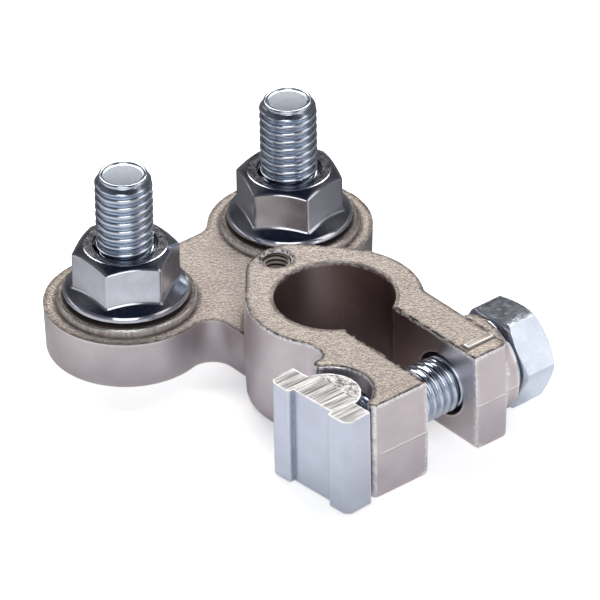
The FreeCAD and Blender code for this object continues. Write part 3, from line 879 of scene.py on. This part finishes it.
# Each light's name, direction from the clamp, distance, size, radiance and colour
SOFTBOXES = (
    ("back_box", (-0.649, 0.527, 0.90), 0.55, (0.50, 0.17), 11.5, (1.0, 0.965, 0.93)),
    ("right_box", (0.76, 0.527, 0.51), 0.5, (0.24, 0.40), 1.05, (1.0, 0.95, 0.93)),
    ("left_box", (-0.80, -0.55, 0.22), 0.5, (0.26, 0.12), 0.45, (1.0, 1.0, 1.0)),
    ("front_box", (0.62, -0.60, 0.62), 0.6, (0.42, 0.40), 1.9, (1.0, 1.0, 1.0)),
)
# The floor lies a little under the clamp, so that the two faces don't share a plane
FLOOR_DROP = 0.00005
FLOOR_SIZE = 3.0
AIM_OF_LIGHTS = Vector((0.0, 0.0, 0.01))


def build_floor(settings):
    """Pale floor that glows a little; behind the clamp it is mirrored dark."""
    bm = bmesh.new()
    bmesh.ops.create_grid(bm, x_segments=1, y_segments=1, size=FLOOR_SIZE)
    bmesh.ops.translate(bm, vec=(0.0, 0.0, -FLOOR_DROP), verts=bm.verts)
    mesh = bpy.data.meshes.new("studio_floor")
    bm.to_mesh(mesh)
    bm.free()
    material = bpy.data.materials.new("pale_floor")
    material.use_nodes = True
    tree = material.node_tree
    sheet = Sheet(tree)
    tree.nodes.remove(tree.nodes["Principled BSDF"])
    spot = sheet.parts(sheet.add("ShaderNodeTexCoord").outputs["Object"])
    away = sheet.length(spot["X"], spot["Y"])
    ray = sheet.add("ShaderNodeLightPath").outputs
    # Painted shade: the floor's glow fades close to the clamp, to the camera from 55 mm in to 30 mm, and to
    # all rays from 20 mm in to none at 9 mm, so the floor is darker round the clamp and stays dark in the
    # bore
    seen = sheet.times(ray["Is Camera Ray"], sheet.spread(away, 0.030, 0.055, 0.35, 0.8))
    ahead = sheet.math("SUBTRACT", sheet.times(spot["X"], math.sin(settings.azimuth)),
                       sheet.times(spot["Y"], math.cos(settings.azimuth)))
    behind = sheet.spread(ahead, 0.004, -0.034)
    mirrored = sheet.blend(behind, (0.55, 0.55, 0.57, 1.0), (0.09, 0.09, 0.10, 1.0))
    pale = sheet.blend(ray["Is Glossy Ray"], tint(settings.floor_colour), mirrored)
    open_floor = sheet.times(sheet.spread(away, 0.009, 0.020, 0.0, 0.34),
                             sheet.mix(ray["Is Glossy Ray"], 1.0, sheet.spread(behind, 0.0, 1.0, 1.0, 0.15)))
    glow = sheet.add("ShaderNodeEmission", {"Color": WHITE, "Strength": sheet.math("ADD", open_floor, seen)})
    matt = sheet.add("ShaderNodeBsdfDiffuse", {"Color": pale})
    both = sheet.add("ShaderNodeAddShader", {0: matt.outputs[0], 1: glow.outputs[0]})
    sheet.feed(tree.nodes["Material Output"].inputs["Surface"], both.outputs[0])
    mesh.materials.append(material)
    floor = bpy.data.objects.new("studio_floor", mesh)
    bpy.context.scene.collection.objects.link(floor)


def build_sky(settings):
    """Studio walls and ceiling: pale low down, dark overhead and far behind the clamp."""
    world = bpy.data.worlds.new("studio")
    bpy.context.scene.world = world
    world.use_nodes = True
    sheet = Sheet(world.node_tree)
    ray = sheet.add("ShaderNodeTexCoord").outputs["Generated"]
    part = sheet.parts(ray)
    ramp = sheet.add("ShaderNodeValToRGB", {"Fac": part["Z"]})
    stops = [(0.0, (0.62, 0.62, 0.64)), (0.18, (0.45, 0.45, 0.48)), (0.40, (0.16, 0.16, 0.18)),
             (0.56, (0.12, 0.12, 0.125)), (0.74, (0.11, 0.11, 0.12)), (0.92, (0.008, 0.012, 0.025))]
    while len(ramp.color_ramp.elements) < len(stops):
        ramp.color_ramp.elements.new(1.0)
    for element, (spot, colour) in zip(ramp.color_ramp.elements, stops):
        element.position = spot
        element.color = tint(colour)
    background = world.node_tree.nodes["Background"]
    sheet.feed(background.inputs["Color"], ramp.outputs["Color"])
    behind = sheet.math("SUBTRACT", sheet.times(part["Y"], math.cos(settings.azimuth)),
                        sheet.times(part["X"], math.sin(settings.azimuth)))
    sheet.feed(background.inputs["Strength"], sheet.spread(behind, 0.2, 0.75, 1.0, 0.22))


def add_softbox(name, direction, distance, size, radiance, colour):
    """Rectangular light that faces the clamp and isn't seen itself."""
    data = bpy.data.lights.new(name, "AREA")
    data.shape = "RECTANGLE"
    data.size, data.size_y = size
    data.energy = radiance * math.pi * size[0] * size[1]
    data.color = colour
    light = bpy.data.objects.new(name, data)
    way = Vector(direction).normalized()
    light.location = AIM_OF_LIGHTS + way * distance
    light.rotation_mode = "QUATERNION"
    light.rotation_quaternion = way.to_track_quat("Z", "Y")
    light.visible_camera = False
    bpy.context.scene.collection.objects.link(light)


def build_camera(settings):
    """Long lens from the photo's angle."""
    data = bpy.data.cameras.new("photo_camera")
    data.lens = settings.lens
    data.sensor_width = 36.0
    azimuth, elevation = settings.azimuth, settings.elevation
    back = Vector((math.sin(azimuth) * math.cos(elevation), -math.cos(azimuth) * math.cos(elevation),
                   math.sin(elevation)))
    right = Vector((math.cos(azimuth), math.sin(azimuth), 0.0))
    up = back.cross(right)
    turned_right = right * math.cos(settings.roll) + up * math.sin(settings.roll)
    turned_up = up * math.cos(settings.roll) - right * math.sin(settings.roll)
    pose = Matrix((turned_right, turned_up, back)).transposed().to_4x4()
    pose.translation = Vector(settings.aim) + back * settings.distance
    camera = bpy.data.objects.new("photo_camera", data)
    camera.matrix_world = pose
    data.clip_start, data.clip_end = 0.05, 20.0
    bpy.context.scene.collection.objects.link(camera)
    bpy.context.scene.camera = camera


# Operators

class CLAMP_OT_dress_casting(bpy.types.Operator):
    """Plate the casting and add its minus sign and the thread in its accessory hole"""
    bl_idname = "clamp.dress_casting"
    bl_label = "Dress Casting"

    def execute(self, context):
        settings = context.scene.clamp_casting
        plating = casting_finish(settings)
        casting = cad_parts["clamp_body"]
        casting.data.materials.clear()
        casting.data.materials.append(plating)
        build_minus_sign(settings, mark_finish(settings))
        build_accessory_thread(settings, tapped_finish(settings))
        return {"FINISHED"}


class CLAMP_OT_build_studs(bpy.types.Operator):
    """Build both threaded studs"""
    bl_idname = "clamp.build_studs"
    bl_label = "Build Studs"

    def execute(self, context):
        scene = context.scene
        colour = tuple(scene.clamp_zinc.bolt_colour)
        materials = [zinc_finish("stud_zinc", colour, 0.20, top_shade_share=0.55), matt_zinc_finish(colour)]
        for side in SIDES:
            build_stud(side, scene.clamp_thread, scene.clamp_bolt, materials)
        return {"FINISHED"}


class CLAMP_OT_build_bolt(bpy.types.Operator):
    """Build the clamp bolt"""
    bl_idname = "clamp.build_bolt"
    bl_label = "Build Clamp Bolt"

    def execute(self, context):
        scene = context.scene
        materials = [zinc_finish("bolt_zinc", tuple(scene.clamp_zinc.bolt_colour), 0.16)]
        build_bolt(scene.clamp_thread, scene.clamp_bolt, materials)
        return {"FINISHED"}


class CLAMP_OT_dress_clamp_nut(bpy.types.Operator):
    """Finish the sawn clamp nut"""
    bl_idname = "clamp.dress_clamp_nut"
    bl_label = "Dress Clamp Nut"

    def execute(self, context):
        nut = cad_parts["clamp_nut"]
        nut.data.materials.clear()
        nut.data.materials.append(sawn_bar_finish(tuple(context.scene.clamp_zinc.bar_colour)))
        return {"FINISHED"}


class CLAMP_OT_build_flange_nuts(bpy.types.Operator):
    """Build both flange nuts"""
    bl_idname = "clamp.build_flange_nuts"
    bl_label = "Build Flange Nuts"

    def execute(self, context):
        nuts = context.scene.clamp_nut
        colour = tuple(context.scene.clamp_zinc.nut_colour)
        finish = zinc_finish("nut_zinc", colour, 0.15, hollow_shade_share=0.9, top_shade_share=0.75)
        build_flange_nut("near", nuts, nuts.turn_near, [finish])
        build_flange_nut("far", nuts, nuts.turn_far, [finish])
        return {"FINISHED"}


class CLAMP_OT_build_stage(bpy.types.Operator):
    """Build the floor, the lights and the camera"""
    bl_idname = "clamp.build_stage"
    bl_label = "Build Stage"

    def execute(self, context):
        settings = context.scene.clamp_stage
        build_floor(settings)
        build_sky(settings)
        for box in SOFTBOXES:
            add_softbox(*box)
        build_camera(settings)
        context.scene.view_settings.view_transform = "Standard"
        return {"FINISHED"}


class CLAMP_PT_panel(bpy.types.Panel):
    """Buttons for each group of pieces"""
    bl_idname = "CLAMP_PT_panel"
    bl_label = "Terminal Clamp"
    bl_space_type = "VIEW_3D"
    bl_region_type = "UI"
    bl_category = "Terminal Clamp"

    def draw(self, context):
        for step in STEPS:
            self.layout.operator(step.bl_idname)


STEPS = (CLAMP_OT_dress_casting, CLAMP_OT_build_studs, CLAMP_OT_build_bolt, CLAMP_OT_dress_clamp_nut,
         CLAMP_OT_build_flange_nuts, CLAMP_OT_build_stage)
SETTINGS = {
    "clamp_thread": ClampThreadSettings,
    "clamp_nut": ClampNutSettings,
    "clamp_bolt": ClampBoltSettings,
    "clamp_casting": ClampCastingSettings,
    "clamp_zinc": ClampZincSettings,
    "clamp_stage": ClampStageSettings,
}


def register():
    for name, group in SETTINGS.items():
        bpy.utils.register_class(group)
        setattr(bpy.types.Scene, name, PointerProperty(type=group))
    for step in STEPS:
        bpy.utils.register_class(step)
    bpy.utils.register_class(CLAMP_PT_panel)


def unregister():
    bpy.utils.unregister_class(CLAMP_PT_panel)
    for step in reversed(STEPS):
        bpy.utils.unregister_class(step)
    for name, group in SETTINGS.items():
        delattr(bpy.types.Scene, name)
        bpy.utils.unregister_class(group)


def main():
    register()
    bpy.ops.clamp.build_stage()
    bpy.ops.clamp.dress_casting()
    bpy.ops.clamp.build_studs()
    bpy.ops.clamp.build_bolt()
    bpy.ops.clamp.dress_clamp_nut()
    bpy.ops.clamp.build_flange_nuts()


if __name__ == "__main__":
    main()
